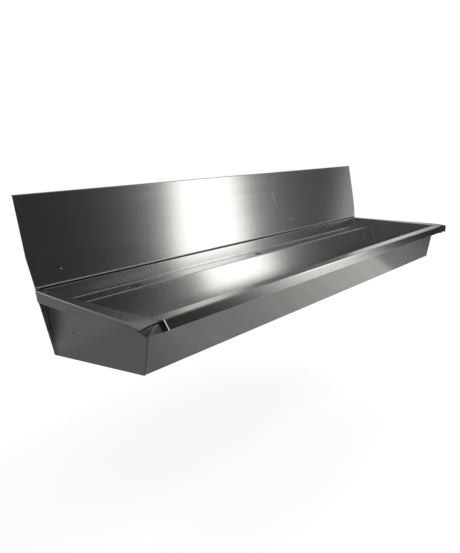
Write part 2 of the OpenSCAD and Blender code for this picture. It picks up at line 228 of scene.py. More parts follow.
def mill_shader(tree, steel, where):
    """Stainless sheet as it leaves the mill, 2B: cold rolled and pickled. It mirrors softly, with a
    cloudy haze and no grain, slanting marks of the rolls shade it faintly, and the thin sheet's slight
    waves bend what it mirrors."""
    cloud = add(tree, "ShaderNodeTexNoise", {"Vector": where, "Scale": 1 / MILL_PATCH, "Detail": 4.0})
    slant = add(tree, "ShaderNodeVectorMath", {0: where, 1: ROLL_SLANT}, operation="DOT_PRODUCT")
    rolls = add(tree, "ShaderNodeTexNoise", {
        "W": slant.outputs["Value"], "Scale": 1 / ROLL_PITCH, "Detail": 3.0}, noise_dimensions="1D")
    colour = add(tree, "ShaderNodeMix", {
        "Factor": rolls.outputs["Fac"], 6: linear(steel.mill_dark), 7: linear(steel.mill_light)},
        data_type="RGBA")
    rough = add(tree, "ShaderNodeMapRange", {
        "Value": cloud.outputs["Fac"], "To Min": steel.mill_roughness - MILL_SPREAD,
        "To Max": steel.mill_roughness + MILL_SPREAD})
    waves = add(tree, "ShaderNodeTexNoise", {"Vector": where, "Scale": 1 / SHEET_WAVE, "Detail": 1.0})
    bump = add(tree, "ShaderNodeBump", {
        "Height": waves.outputs["Fac"], "Strength": 1.0, "Distance": steel.mill_waves})
    core = add(tree, "ShaderNodeBsdfPrincipled", {
        "Base Color": colour.outputs[2], "Metallic": 1.0, "Roughness": rough.outputs[0],
        "Normal": bump.outputs[0]})
    haze = add(tree, "ShaderNodeBsdfPrincipled", {
        "Base Color": colour.outputs[2], "Metallic": 1.0, "Roughness": HAZE_ROUGHNESS,
        "Normal": bump.outputs[0]})
    return add(tree, "ShaderNodeMixShader", {
        0: steel.mill_haze, 1: core.outputs[0], 2: haze.outputs[0]}).outputs[0]


def mark_line(tree, where, start, end, width, depth):
    """How strongly a straight mark shows: its depth up to a quarter of its width from the segment
    between two points, falling to 0 at half its width. The nearest point of the segment is found by
    projection. A depth above 1 gives a firm edge."""
    start, end = Vector(start), Vector(end)
    way = end - start
    off = add(tree, "ShaderNodeVectorMath", {0: where, 1: tuple(start)}, operation="SUBTRACT")
    run = add(tree, "ShaderNodeVectorMath", {
        0: off.outputs[0], 1: tuple(way / way.length_squared)}, operation="DOT_PRODUCT")
    run = add(tree, "ShaderNodeClamp", {0: run.outputs["Value"]})
    foot = add(tree, "ShaderNodeVectorMath", {
        0: tuple(way), "Scale": run.outputs[0]}, operation="SCALE")
    gap = add(tree, "ShaderNodeVectorMath", {
        0: off.outputs[0], 1: foot.outputs[0]}, operation="DISTANCE")
    return add(tree, "ShaderNodeMapRange", {
        "Value": gap.outputs["Value"], "From Min": width / 4, "From Max": width / 2, "To Min": depth,
        "To Max": 0.0}).outputs[0]


def marked(tree, shader, where, marks):
    """A sheet's shader under marks. Scratches and painted highlights on edges and folds spread light
    all round like a matt surface; dark specks, tinted welds and painted shade in slots, holes and
    corners hardly return any. Each mark is a start, an end, a width, a depth, and whether it is bright."""
    bright = add(tree, "ShaderNodeBsdfPrincipled", {
        "Base Color": linear("#E2E2E1"), "Roughness": 0.5})
    dark = add(tree, "ShaderNodeBsdfPrincipled", {
        "Base Color": linear("#101010"), "Roughness": 0.8, "Specular IOR Level": 0.15})
    for start, end, width, depth, shines in marks:
        cover = mark_line(tree, where, start, end, width, depth)
        shader = add(tree, "ShaderNodeMixShader", {
            0: cover, 1: shader, 2: (bright if shines else dark).outputs[0]}).outputs[0]
    return shader


def sheet_steel(name, steel, position, tangent, brushed=None, marks=(), mill_marks=()):
    """Stainless sheet: belt-brushed where the mask brushed is 1, mill finish where it is 0, each
    with marks of its own."""
    material, tree = new_material(name)
    where = position(tree)
    shader = marked(tree, brushed_shader(tree, steel, where, tangent), where, marks)
    if brushed:
        mill = marked(tree, mill_shader(tree, steel, where), where, mill_marks)
        shader = add(tree, "ShaderNodeMixShader", {
            0: brushed(tree), 1: mill, 2: shader}).outputs[0]
    close_material(tree, shader)
    return material


def mill_steel(name, steel, marks=()):
    """Stainless sheet in mill finish."""
    material, tree = new_material(name)
    where = object_position(tree)
    close_material(tree, marked(tree, mill_shader(tree, steel, where), where, marks))
    return material


def object_position(tree):
    """Position on the piece in metres."""
    return add(tree, "ShaderNodeTexCoord").outputs["Object"]


def map_position(tree):
    """Position in the piece's own map, in metres: along the grain, across it, no height."""
    return add(tree, "ShaderNodeTexCoord").outputs["UV"]


def true_normal(tree):
    """Direction that the face looks in."""
    return add(tree, "ShaderNodeNewGeometry").outputs["True Normal"]


def above(tree, vector, direction, low, high):
    """1 where a vector's share along a direction is above a small band, 0 below it."""
    share = add(tree, "ShaderNodeVectorMath", {0: vector, 1: direction}, operation="DOT_PRODUCT")
    return add(tree, "ShaderNodeMapRange", {
        "Value": share.outputs["Value"], "From Min": low, "From Max": high}).outputs[0]


def pan_brushed(tree):
    """The pan's inner and upper side: faces that look up, the upstand's front, and at the front edge
    the rim's top and the fascia's front."""
    place, normal = object_position(tree), true_normal(tree)
    up = above(tree, normal, (0, 0, 1), 0.04, 0.06)
    front = above(tree, normal, (0, -1, 0), 0.04, 0.06)
    near_wall = above(tree, place, (0, 1, 0), -2 * FACE_DEPTH, -1.9 * FACE_DEPTH)
    upstand = add(tree, "ShaderNodeMath", {0: front, 1: near_wall}, operation="MULTIPLY")
    inside = add(tree, "ShaderNodeMath", {0: up, 1: upstand.outputs[0]}, operation="MAXIMUM")
    edge = above(tree, place, (0, -1, 0), -RIM_INNER[0] + 1 * MM, -RIM_INNER[0] + 1.1 * MM)
    outer = above(tree, normal, (0, -0.7, 0.7), 0.0, 0.02)
    return add(tree, "ShaderNodeMix", {"Factor": edge, 2: inside.outputs[0], 3: outer}).outputs[0]


def wall_side_bare(tree):
    """All of a wall sheet but its rear face."""
    return above(tree, true_normal(tree), (0, -1, 0), -0.6, -0.5)


def length_tangent(tree):
    """Grain along X."""
    return add(tree, "ShaderNodeCombineXYZ", {"X": 1.0}).outputs[0]


def map_tangent(tree):
    """Grain along the first direction of the piece's own map."""
    return add(tree, "ShaderNodeTangent", direction_type="UV_MAP").outputs[0]


# Meshes from grids

SHARP_ANGLE = math.radians(35)


def grid_mesh(name, points, maps=None, closed=False, flip=False):
    """A mesh over a grid of points, rows by columns; each row closes on itself when closed is true.
    maps gives two coordinates for every point."""
    rows, columns = points.shape[:2]
    across = columns if closed else columns - 1
    i, k = np.meshgrid(np.arange(rows - 1), np.arange(across), indexing="ij")
    a = i * columns + k
    b = i * columns + (k + 1) % columns
    faces = np.stack([a, b, b + columns, a + columns], -1).reshape(-1, 4)
    if flip:
        faces = faces[:, ::-1]
    mesh = bpy.data.meshes.new(name)
    mesh.from_pydata(points.reshape(-1, 3), [], faces)
    if maps is not None:
        layer = mesh.uv_layers.new(name="grain")
        layer.data.foreach_set("uv", maps.reshape(-1, 2)[faces.reshape(-1)].ravel())
    mesh.polygons.foreach_set("use_smooth", np.ones(len(faces), bool))
    return mesh


def capped_mesh(name, points):
    """A closed tube over rings of points, with a flat face on each end."""
    rings, sides = points.shape[:2]
    mesh = grid_mesh(name, points, closed=True)
    faces = [tuple(p.vertices) for p in mesh.polygons]
    faces += [tuple(range(sides - 1, -1, -1)), tuple(range((rings - 1) * sides, rings * sides))]
    mesh.clear_geometry()
    mesh.from_pydata(points.reshape(-1, 3), [], faces)
    mesh.polygons.foreach_set("use_smooth", np.ones(len(faces), bool))
    return mesh


def show(mesh, material):
    """Puts a finished mesh in the scene as a steel piece that rides on the trough."""
    mesh.materials.clear()
    mesh.materials.append(material)
    piece = bpy.data.objects.new(mesh.name, mesh)
    bpy.context.scene.collection.objects.link(piece)
    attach(piece, BODY)
    return piece


def thicken(piece, **settings):
    """Gives a surface the sheet's thickness behind its face, makes that part of its mesh, and marks
    the sharp edges."""
    thick = piece.modifiers.new("thickness", "SOLIDIFY")
    thick.thickness = SHEET
    thick.offset = -1
    for name, value in settings.items():
        setattr(thick, name, value)
    evaluated = piece.evaluated_get(bpy.context.evaluated_depsgraph_get())
    mesh = bpy.data.meshes.new_from_object(evaluated)
    piece.modifiers.clear()
    piece.data = mesh
    mesh.name = piece.name
    mesh.set_sharp_from_angle(angle=SHARP_ANGLE)


def trim_depth(mesh, front, rear):
    """Trims a mesh flat where it stands out past a front and a rear plane, both square to Y."""
    place = np.empty(3 * len(mesh.vertices))
    mesh.vertices.foreach_get("co", place)
    place[1::3] = np.clip(place[1::3], front, rear)
    mesh.vertices.foreach_set("co", place)
    mesh.update()


# End panels

# Points of their grid: along the depth behind and in front of the front wall's foot, up the wall,
# round a fold, and across a flat strip
REAR_COUNT = 60
FRONT_COUNT = 12
WALL_COUNT = 24
FOLD_COUNT = 9
FLAT_COUNT = 10


def between(a, b, count):
    """Points at even steps from an array of points to another."""
    share = np.linspace(0, 1, count)[:, None]
    return a[:, None] * (1 - share) + b[:, None] * share


def fold_points(before, corner, after, radius, steps):
    """Arc that rounds a corner turning right, for arrays of corners: the sheet's direction is turned
    step by step from the first to the second, and the arc's points lie a radius to its left."""
    first = (corner - before) / np.linalg.norm(corner - before, axis=-1, keepdims=True)
    second = (after - corner) / np.linalg.norm(after - corner, axis=-1, keepdims=True)
    angle = np.arccos(np.clip((first * second).sum(-1), -1, 1))[:, None]
    left = np.stack([-first[:, 1], first[:, 0]], -1)
    centre = corner - first * radius * np.tan(angle / 2) - left * radius
    turn = -angle * np.linspace(0, 1, steps)
    x = left[:, :1] * np.cos(turn) - left[:, 1:] * np.sin(turn)
    z = left[:, :1] * np.sin(turn) + left[:, 1:] * np.cos(turn)
    return centre[:, None] + radius * np.stack([x, z], -1)


def end_panel_surface(side):
    """Inner and upper face of an end panel, and its map. A profile goes up the wall, round a fold,
    out over the rim, round the outer fold and down the flange; it is carried along the depth while
    the wall closes in, the rim falls, the flange leans in, and the front corner droops. The map
    runs along the rim's fall, 2 m away from zero on each side, and along the profile."""
    wall_front, wall_foot = RIM_INNER[0], -FRONT_FOOT
    depth = np.concatenate([
        np.linspace(-SHEET, wall_foot, REAR_COUNT), np.linspace(wall_foot, wall_front, FRONT_COUNT)[1:],
        np.linspace(wall_front, -DEPTH, FRONT_COUNT)[1:]])
    inner, outer, top = wall_x(depth), rim_x(depth), rim_z(depth)
    lean = FLANGE_LEAN[side] * (-depth / DEPTH) ** LEAN_GROWTH
    stub = top - 3 * FOLD
    slant = np.interp(depth, [wall_front, wall_foot],
                      [RIM_INNER[1] - SHEET, bottom_z(wall_foot) - SHEET])
    low = np.where(depth > wall_front, slant, stub)
    low = np.where(depth >= wall_foot, bottom_z(depth) - SHEET, low)
    low = np.minimum(low, stub) - top
    zero = np.zeros_like(depth)
    foot = np.stack([zero, low], -1)
    inner_corner = np.stack([zero, zero], -1)
    outer_corner = np.stack([outer - inner, zero], -1)
    tip = outer_corner + END_FLANGE * np.stack([-np.sin(lean), -np.cos(lean)], -1)
    radius = FOLD + SHEET
    inner_fold = fold_points(foot, inner_corner, outer_corner, radius, FOLD_COUNT)
    outer_fold = fold_points(inner_corner, outer_corner, tip, radius, FOLD_COUNT)
    profile = np.concatenate([
        between(foot, inner_fold[:, 0], WALL_COUNT)[:, :-1], inner_fold,
        between(inner_fold[:, -1], outer_fold[:, 0], FLAT_COUNT)[:, 1:-1], outer_fold,
        between(outer_fold[:, -1], tip, FLAT_COUNT)[:, 1:]], axis=1)
    x = inner[:, None] + profile[..., 0]
    along = np.clip(1 - (depth + DEPTH) / (2 * FRONT_RIM), 0, None)[:, None]
    across = np.clip(profile[..., 0] / (outer - inner)[:, None], 0, 1)
    z = top[:, None] + profile[..., 1] - CORNER_DROOP * along ** 2 * across
    y = np.broadcast_to(depth[:, None], x.shape)
    step = np.linalg.norm(np.diff(profile, axis=1), axis=-1)
    run = np.concatenate([np.zeros((len(depth), 1)), np.cumsum(step, axis=1)], axis=1)
    run -= run[:, WALL_COUNT - 1:WALL_COUNT]
    maps = np.stack([-y / math.cos(RIM_FALL) + 2 * side, run], -1)
    return np.stack([side * x, y, z], -1), maps


def form_end_panel(side, material, reverse):
    """An end panel as one folded sheet with its thickness outside the basin: brushed inside and on
    top, mill finish on the reverse."""
    points, maps = end_panel_surface(side)
    mesh = grid_mesh("formed_end_" + SIDE_WORD[side], points, maps, flip=side > 0)
    piece = show(mesh, material)
    mesh.materials.append(reverse)
    thicken(piece, use_even_offset=True, material_offset=1)
    trim_depth(piece.data, -DEPTH, -SHEET)
    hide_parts("end_panel_" + SIDE_WORD[side])


# Marks of making and handling, and painted highlights and shade: start, end, width, depth and kind,
# at their places on the trough

BRIGHT, DARK = True, False
WALL_Y = -FACE_DEPTH
# On the splashback: scratches, specks, a painted highlight at the right corner, and a painted
# highlight along the edge and painted shade in the slot at its foot
SPLASH_MARKS = (
    ((0.220, WALL_Y, 0.194), (0.232, WALL_Y, 0.158), 1.8 * MM, 0.5, BRIGHT),
    ((0.232, WALL_Y, 0.158), (0.238, WALL_Y, 0.138), 2.4 * MM, 0.6, BRIGHT),
    ((0.240, WALL_Y, 0.192), (0.233, WALL_Y, 0.160), 1.2 * MM, 0.35, BRIGHT),
    ((0.246, WALL_Y, 0.258), (0.252, WALL_Y, 0.227), 1.2 * MM, 0.3, BRIGHT),
    ((0.318, WALL_Y, 0.056), (0.321, WALL_Y, 0.056), 4 * MM, 0.6, BRIGHT),
    ((0.342, WALL_Y, 0.055), (0.346, WALL_Y, 0.056), 4 * MM, 0.6, BRIGHT),
    ((0.070, WALL_Y, 0.050), (0.073, WALL_Y, 0.050), 3 * MM, 0.5, BRIGHT),
    ((-0.804, WALL_Y, 0.047), (-0.802, WALL_Y, 0.047), 4 * MM, 0.5, BRIGHT),
    ((-0.578, WALL_Y, 0.076), (-0.576, WALL_Y, 0.076), 4 * MM, 0.9, DARK),
    ((-0.867, WALL_Y, 0.104), (-0.822, WALL_Y, 0.094), 1.4 * MM, 0.04, BRIGHT),
    ((-0.822, WALL_Y, 0.094), (-0.747, WALL_Y, 0.096), 1.2 * MM, 0.03, BRIGHT),
    ((0.884, WALL_Y, 0.010), (0.886, WALL_Y, 0.026), 12 * MM, 0.6, BRIGHT),
    ((-0.9, WALL_Y, 0.0070), (0.9, WALL_Y, 0.0070), 4.5 * MM, 0.3, BRIGHT),
    ((-0.9, WALL_Y + 2 * MM, 0.0025), (0.9, WALL_Y + 2 * MM, 0.0025), 5.5 * MM, 0.95, DARK),
)
# On the back sheet: a painted highlight at the left edge, painted shade in the slot under the
# splashback, and painted shade where the tap holes look at it
TAP_HOLES = (-0.6, 0.0, 0.6)
SLOT_MARKS = (
    ((-0.8865, -SHEET, -0.045), (-0.8755, -SHEET, -0.190), 9 * MM, 0.14, BRIGHT),
    ((-0.9, -SHEET, 0.0), (0.9, -SHEET, 0.0), 14 * MM, 0.95, DARK),
    *(((x, -SHEET, -0.066), (x + 0.12, -SHEET, -0.066), 70 * MM, 0.95, DARK) for x in TAP_HOLES),
)
# On the pan: scratches on the basin's back; painted highlights on the fascia's left cut end and lower
# edge, on the ledge's two folds and beside the left tap hole; and painted shade on the punched edge of
# each hole
PAN_MARKS = (
    ((0.072, -0.114, -0.085), (0.082, -0.118, -0.105), 1.4 * MM, 0.35, BRIGHT),
    ((0.096, -0.121, -0.125), (0.103, -0.124, -0.141), 1.6 * MM, 0.4, BRIGHT),
    ((0.769, -0.112, -0.076), (0.773, -0.119, -0.113), 2 * MM, 0.5, BRIGHT),
    ((-0.8140, -0.480, -0.0905), (-0.8005, -0.4743, -0.1205), 3.6 * MM, 1.0, BRIGHT),
    ((-0.8005, -0.4743, -0.1203), (0.8005, -0.4743, -0.1203), 2.5 * MM, 0.2, BRIGHT),
    ((-0.871, *LEDGE_REAR), (0.871, *LEDGE_REAR), 4 * MM, 0.15, BRIGHT),
    ((-0.862, *LEDGE_FRONT), (0.862, *LEDGE_FRONT), 4 * MM, 0.15, BRIGHT),
    ((-0.632, -0.066, -0.0519), (-0.620, -0.0665, -0.0519), 16 * MM, 0.12, BRIGHT),
    *(((x, -0.066948, -0.051944), (x + MM / 10, -0.066948, -0.051944), 35.5 * MM, 6.0, DARK)
      for x in TAP_HOLES),
)
# On the pan's outside: the tinted left corner weld, and a speck
PAN_MILL_MARKS = (
    ((-0.8315, -0.4395, -0.1045), (-0.8362, -0.3922, -0.2285), 8 * MM, 0.85, DARK),
    ((-0.770, -0.395, -0.213), (-0.769, -0.395, -0.213), 3 * MM, 0.4, BRIGHT),
)
# Painted shade on top of the right rim's front corner, in the panel's own map
TOP_MARKS = (((2.482, 0.030, 0.0), (2.482, 0.060, 0.0), 40 * MM, 0.92, DARK),)
# On the outside of the left end panel: the tinted corner weld, a faint line with two specks, painted
# shade beside the wall, and a painted highlight along the edge of the rim
END_MARKS = (
    ((-0.8325, -0.4395, -0.1045), (-0.8372, -0.3922, -0.2285), 6 * MM, 0.7, DARK),
    ((-0.8635, -0.108, -0.056), (-0.861, -0.136, -0.205), 4 * MM, 0.12, DARK),
    ((-0.862, -0.1215, -0.125), (-0.862, -0.1218, -0.127), 7 * MM, 0.6, DARK),
    ((-0.8615, -0.130, -0.170), (-0.8615, -0.1302, -0.171), 6 * MM, 0.3, DARK),
    ((-0.873, 0.0, -0.03), (-0.873, 0.0, -0.06), 220 * MM, 0.6, DARK),
    ((-0.873, 0.0, -0.06), (-0.873, 0.0, -0.12), 120 * MM, 0.4, DARK),
    ((-0.873, 0.0, -0.12), (-0.873, 0.0, -0.19), 60 * MM, 0.4, DARK),
    ((-0.8905, -0.01, -0.005), (-0.891, -0.46, -0.091), 4 * MM, 0.15, BRIGHT),
)
# On the lips: painted shade on the left one where it turns under the rim and the fascia, and painted
# shade over all of the right one
LIP_MARKS = (
    ((-0.887, -0.480, -0.097), (-0.815, -0.480, -0.092), 8 * MM, 0.9, DARK),
    ((-0.822, -0.479, -0.092), (-0.808, -0.474, -0.122), 24 * MM, 0.97, DARK),
    ((-0.882, -0.478, -0.099), (-0.862, -0.472, -0.110), 34 * MM, 0.6, DARK),
    ((-0.843, -0.480, -0.093), (-0.861, -0.466, -0.120), 8 * MM, 0.6, DARK),
    ((0.890, -0.476, -0.105), (0.800, -0.476, -0.105), 90 * MM, 0.85, DARK),
)


# Corner lips: the narrow sheet that closes each front corner under the rim

LIP_TUCK = 15 * MM
LIP_COUNT = 8


def lip_patch(corners):
    """Bilinear patch over four corners: straight lines joined from one edge to the opposite one."""
    a, b, c, d = (np.array(corner) for corner in corners)
    steps = np.linspace(0, 1, LIP_COUNT)
    u, v = np.meshgrid(steps, steps, indexing="ij")
    u, v = u[..., None], v[..., None]
    return a * (1 - u) * (1 - v) + b * u * (1 - v) + c * u * v + d * (1 - u) * v


def form_corner_lip(side, material):
    """One folded sheet under the rim's front corner: a triangle beside the end flange, and a twisted
    strip from its crease to the cut end of the fascia. Both are patches over straight lines, and the
    sheet's thickness lies behind them."""
    lean = FLANGE_LEAN[side]
    outer = side * rim_x(-DEPTH)
    rim = rim_z(-DEPTH)
    droop = rim - CORNER_DROOP
    tip = (outer - side * END_FLANGE * math.sin(lean), -DEPTH + LIP_TUCK,
           droop - END_FLANGE * math.cos(lean))
    outer_foot = (outer - side * FOLD, -DEPTH + FOLD, droop - 3 * SHEET)
    corner = (outer, -DEPTH, droop - SHEET)
    crease = (side * LIP_CREASE, -DEPTH, rim - SHEET - FOLD)
    top = (side * FASCIA_END, -DEPTH, rim - SHEET)
    foot = (side * (FASCIA_END - FASCIA_CUT), -DEPTH + FASCIA_HEIGHT * math.sin(RIM_FALL),
            rim - FASCIA_HEIGHT * math.cos(RIM_FALL))
    patches = {"lip_outer_": (corner, outer_foot, tip, crease),
               "lip_inner_": (crease, tip, foot, top)}
    for name, corners in patches.items():
        mesh = grid_mesh(name + SIDE_WORD[side], lip_patch(corners), flip=side < 0)
        thicken(show(mesh, material))


# Weld seams

BEAD_PITCH = 3 * MM
BEAD_RIPPLE = 0.07
BEAD_SIDES = 8
# The short bead on the rear corner of each rim, from and to this distance from the middle
CORNER_BEAD = (876 * MM, 890.8 * MM)


def bead_rings(path, radius):
    """A bead along a path: circles square to the path, whose radius swells once every pitch of the
    torch, drawn in to a point over the last radius at both ends."""
    step = np.linalg.norm(np.diff(path, axis=0), axis=1)
    run = np.concatenate([[0], np.cumsum(step)])
    count = max(12, int(run[-1] / (BEAD_PITCH / 5)))
    at = np.linspace(0, run[-1], count)
    centre = np.stack([np.interp(at, run, path[:, i]) for i in range(3)], -1)
    way = np.gradient(centre, axis=0)
    way /= np.linalg.norm(way, axis=1, keepdims=True)
    level = np.cross(way, np.array([1.0, 0.3, 0.0]) / math.hypot(1, 0.3))
    level /= np.linalg.norm(level, axis=1, keepdims=True)
    other = np.cross(way, level)
    end = np.clip(np.minimum(at, run[-1] - at) / radius, 0.05, 1) ** 0.5
    size = radius * end * (1 + BEAD_RIPPLE * np.cos(2 * np.pi * at / BEAD_PITCH))
    turn = np.linspace(0, 2 * np.pi, BEAD_SIDES, endpoint=False)
    circle = level[:, None] * np.cos(turn)[:, None] + other[:, None] * np.sin(turn)[:, None]
    return centre[:, None] + size[:, None, None] * circle


def seam_path(section, side, outward):
    """Points of a section in [y, z] laid on the end wall, at a distance outside its inner face."""
    section = np.asarray(section)
    x = side * (wall_x(section[:, 0]) + outward)
    return np.column_stack([x, section])


def lay_seam(name, path, radius, material):
    """One welded seam as a closed bead."""
    show(capped_mesh(name, bead_rings(path, radius)), material)


# Finishes of the small parts


def patchy(name, patch, colours, rough, metal=0.0, relief=None, swirl=0.0):
    """A finish with fine patches: one noise, a patch wide, runs its colour and its roughness between
    two values each. A relief, as a strength and a height, also raises the surface by it."""
    material, tree = new_material(name)
    patches = add(tree, "ShaderNodeTexNoise", {
        "Vector": object_position(tree), "Scale": 1 / patch, "Detail": 3.0,
        "Distortion": swirl}).outputs["Fac"]
    colour = add(tree, "ShaderNodeMix", {
        "Factor": patches, 6: linear(colours[0]), 7: linear(colours[1])}, data_type="RGBA")
    roughness = add(tree, "ShaderNodeMapRange", {
        "Value": patches, "To Min": rough[0], "To Max": rough[1]})
    inputs = {"Base Color": colour.outputs[2], "Metallic": metal, "Roughness": roughness.outputs[0]}
    if relief:
        inputs["Normal"] = add(tree, "ShaderNodeBump", {
            "Height": patches, "Strength": relief[0], "Distance": relief[1]}).outputs[0]
    close_material(tree, add(tree, "ShaderNodeBsdfPrincipled", inputs).outputs[0])
    return material


def dressed_weld():
    """TIG weld in stainless steel, dressed with a flap wheel: duller and a little darker than the
    sheet, with short uneven marks."""
    return patchy("dressed stainless weld", 2.5 * MM, ("#A5A4A1", "#D2D1CE"), (0.3, 0.5), 1.0,
                  (0.3, 0.1 * MM))


def polished_steel():
    """Stainless pressing, machine polished: bright, with faint swirls from the mop."""
    return patchy("polished stainless waste", 5.5556 * MM, ("#C6C5C2", "#D6D5D2"), (0.1, 0.22), 1.0,
                  swirl=1.5)


def turned_brass():
    """Brass CW614N, turned and left bare: warm, satin, with a slight brown tarnish in patches."""
    return patchy("turned brass", 4.5455 * MM, ("#A88547", "#D9BC7A"), (0.22, 0.4), 1.0)


def moulded_rubber():
    """Nitrile rubber, moulded: nearly black and matt, with the fine texture of its mould."""
    return patchy("nitrile rubber seal", 0.8 * MM, ("#141414", "#232323"), (0.64, 0.76),
                  relief=(0.4, 0.05 * MM))


def moulded_polypropylene():
    """Polypropylene, injection moulded in black: satin, with a fine even grain."""
    return patchy("black polypropylene", 0.5 * MM, ("#17181A", "#222326"), (0.36, 0.48),
                  relief=(0.4, 0.02 * MM))


def rolled_bitumen():
    """Bitumen pad, rolled and cut: dull black with a coarse leathery face that kills its gloss."""
    return patchy("bitumen sound pad", 3 * MM, ("#1B1B1A", "#333230"), (0.79, 0.91),
                  relief=(0.4, 0.4 * MM))


# Values that a user would change


class TroughSteel(bpy.types.PropertyGroup):
    """Finish of the brushed and of the mill-finish sheets"""

    light_code: bpy.props.StringProperty(
        name="Light", description="Lightest colour of the steel, as sRGB hex", default="#CDCCCA")
    dark_code: bpy.props.StringProperty(
        name="Dark", description="Darkest colour of the steel, as sRGB hex", default="#C2C1BF")
    roughness: bpy.props.FloatProperty(
        name="Roughness", description="Mean roughness of the brushed face", default=0.205, min=0,
        max=1)
    anisotropy: bpy.props.FloatProperty(
        name="Anisotropy", description="How much the grain stretches reflections", default=0.35,
        min=0, max=1)
    grain_pitch: bpy.props.FloatProperty(
        name="Grain pitch", description="Width of a band of brush lines", default=15 * MM,
        unit="LENGTH")
    streak_length: bpy.props.FloatProperty(
        name="Streak length", description="Length of a band of brush lines", default=0.9,
        unit="LENGTH")
    cloud_size: bpy.props.FloatProperty(
        name="Cloud size", description="Size of the patches where the finish varies", default=0.25,
        unit="LENGTH")
    cloud_depth: bpy.props.FloatProperty(
        name="Cloud depth", description="How much the roughness varies between patches",
        default=0.02, min=0, max=1)
    mill_light: bpy.props.StringProperty(
        name="Mill light", description="Lightest colour of the mill finish, as sRGB hex",
        default="#CFCFCC")
    mill_dark: bpy.props.StringProperty(
        name="Mill dark", description="Darkest colour of the mill finish, as sRGB hex",
        default="#C1C1BE")
    mill_roughness: bpy.props.FloatProperty(
        name="Mill roughness", description="Mean roughness of the mill finish", default=0.1, min=0,
        max=1)
    mill_haze: bpy.props.FloatProperty(
        name="Mill haze", description="Share of the mill finish's reflection that is spread wide",
        default=0.25, min=0, max=1)
    mill_waves: bpy.props.FloatProperty(
        name="Mill waves", description="Height of the slight waves of the thin sheet",
        default=0.1 * MM, unit="LENGTH")


class TroughStudio(bpy.types.PropertyGroup):
    """Camera, lamps and cards"""

    camera_place: bpy.props.FloatVectorProperty(
        name="Camera", description="Place of the camera", default=(-1.4673, -1.3813, 0.1197),
        subtype="XYZ", unit="LENGTH")
    camera_way: bpy.props.FloatVectorProperty(
        name="View direction", description="Direction in which the camera looks",
        default=(0.69566, 0.7077, -0.1234), subtype="DIRECTION")
    camera_up: bpy.props.FloatVectorProperty(
        name="Camera's up", description="Direction that is up in the picture",
        default=(0.20336, -0.02925, 0.97867), subtype="DIRECTION")
    lens: bpy.props.FloatProperty(
        name="Lens", description="Focal length on a 36 mm long side", default=31.687 * MM,
        unit="CAMERA")
    floor_drop: bpy.props.FloatProperty(
        name="Floor", description="Height of the rim above the floor", default=0.85, unit="LENGTH")
    box_size: bpy.props.FloatVectorProperty(
        name="Softbox", description="Width and height of the softbox", default=(0.76, 1.6), size=2,
        unit="LENGTH")
    box_lean: bpy.props.FloatProperty(
        name="Softbox lean", description="How far the softbox's upper left corner is moved in",
        default=0.224, unit="LENGTH")
    box_place: bpy.props.FloatVectorProperty(
        name="Softbox place", description="Centre of the softbox", default=(0.848, -1.12, 0.345),
        subtype="XYZ", unit="LENGTH")
    box_level: bpy.props.FloatProperty(
        name="Softbox level", description="Radiance of the softbox in reflections", default=2.25,
        min=0)


class TROUGH_OT_back_sheet(bpy.types.Operator):
    """Finish the splashback and the back sheet with lengthwise brushed steel"""

    bl_idname = "trough.back_sheet"
    bl_label = "Back sheet"

    def execute(self, context):
        steel = context.scene.trough_steel
        dress(sheet_steel("brushed stainless splashback", steel, object_position, length_tangent,
                          wall_side_bare, SPLASH_MARKS), "splashback")
        dress(sheet_steel("brushed stainless back sheet", steel, object_position, length_tangent,
                          wall_side_bare, SLOT_MARKS), "back_sheet")
        return {"FINISHED"}


class TROUGH_OT_pan(bpy.types.Operator):
    """Finish the folded pan with lengthwise brushed steel"""

    bl_idname = "trough.pan"
    bl_label = "Pan"

    def execute(self, context):
        steel = context.scene.trough_steel
        dress(sheet_steel("brushed stainless pan", steel, object_position, length_tangent,
                          pan_brushed, PAN_MARKS, PAN_MILL_MARKS), "trough_pan")
        return {"FINISHED"}


class TROUGH_OT_end_panels(bpy.types.Operator):
    """Form both end panels and the lips at the front corners as folded sheets"""

    bl_idname = "trough.end_panels"
    bl_label = "End panels"

    def execute(self, context):
        steel = context.scene.trough_steel
        brushed = sheet_steel("brushed stainless end panels", steel, map_position, map_tangent,
                              marks=TOP_MARKS)
        reverse = mill_steel("mill-finish stainless end panels", steel, END_MARKS)
        lip = mill_steel("mill-finish stainless corner lips", steel, LIP_MARKS)
        for side in SIDE_WORD:
            form_end_panel(side, brushed, reverse)
            form_corner_lip(side, lip)
        return {"FINISHED"}


class TROUGH_OT_welds(bpy.types.Operator):
    """Lay the weld seams between the pan, the end panels and the back sheet"""

    bl_idname = "trough.welds"
    bl_label = "Welds"

    def execute(self, context):
        material = dressed_weld()
        inside = [RIM_INNER, FRONT_FOLD, SLOPE_FOOT, LEDGE_FRONT, LEDGE_REAR,
                  (LEDGE_REAR[0], -2 * FOLD)]
        outer_foot = (-FRONT_FOOT, bottom_z(-FRONT_FOOT) - SHEET)
        outside = [(RIM_INNER[0], RIM_INNER[1] - 2 * FOLD), outer_foot,
                   (-2 * SHEET, bottom_z(-2 * SHEET) - SHEET / math.cos(BOTTOM_FALL))]
        rear = [(-SHEET, -3 * FOLD), (-SHEET, bottom_z(-SHEET))]
        for side, word in SIDE_WORD.items():
            lay_seam("weld_inside_" + word, seam_path(inside, side, -0.7 * MM), 1.5 * MM, material)
            lay_seam("weld_outside_" + word, seam_path(outside, side, SHEET / 2), 0.8 * MM, material)
            lay_seam("weld_rear_" + word, seam_path(rear, side, SHEET), 1.4 * MM, material)
            corner = np.array([(side * x, -5 * MM, 1.4 * MM) for x in CORNER_BEAD])
            lay_seam("weld_corner_" + word, corner, 1.6 * MM, material)
        return {"FINISHED"}


